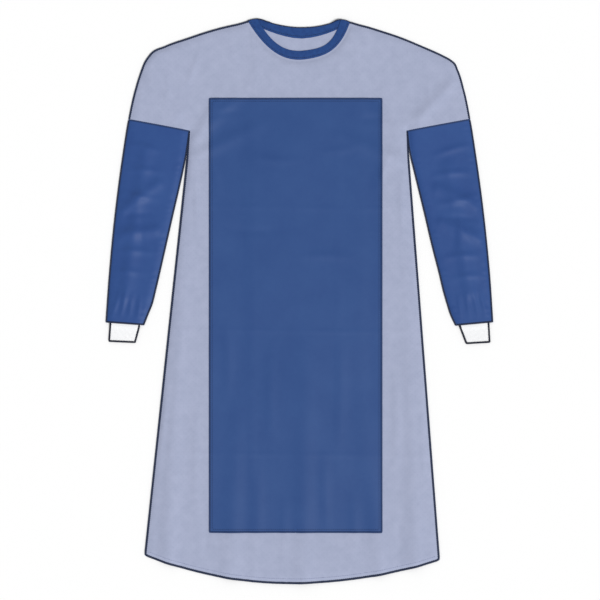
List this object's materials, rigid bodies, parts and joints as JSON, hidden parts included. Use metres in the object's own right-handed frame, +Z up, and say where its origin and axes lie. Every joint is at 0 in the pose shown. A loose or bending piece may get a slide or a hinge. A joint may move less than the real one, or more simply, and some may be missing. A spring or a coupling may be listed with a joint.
{
  "type": "surgical gown",
  "caption": "Long-sleeved surgical gown laid out flat on its back, front up, with a reinforced front panel, reinforced lower sleeves, knitted cuffs and a bound neck.",
  "frame": {"origin": "middle of the laid-out gown, on the surface that it lies on", "axes": "+X towards the wearer's left sleeve, +Y from hem to neck, +Z up from the surface through the back and the front"},
  "size_m": [0.8728, 1.2733, 0.0119],
  "materials": {
    "body_cloth": "matt nonwoven",
    "panel_cloth": "laminated nonwoven, slight sheen",
    "sleeve_cloth": "laminated nonwoven, slight sheen",
    "binding_cloth": "matt folded tape",
    "cuff_knit": "matt rib knit"
  },
  "bodies": {
    "root": {"front_body": "body_cloth", "front_reinforcement": "panel_cloth", "back_right": "body_cloth", "back_left": "body_cloth", "sleeve_right": "sleeve_cloth", "sleeve_left": "sleeve_cloth", "cuff_right": "cuff_knit", "cuff_left": "cuff_knit", "neck_binding_front": "binding_cloth", "neck_binding_back_right": "binding_cloth", "neck_binding_back_left": "binding_cloth"}
  },
  "joints": []
}
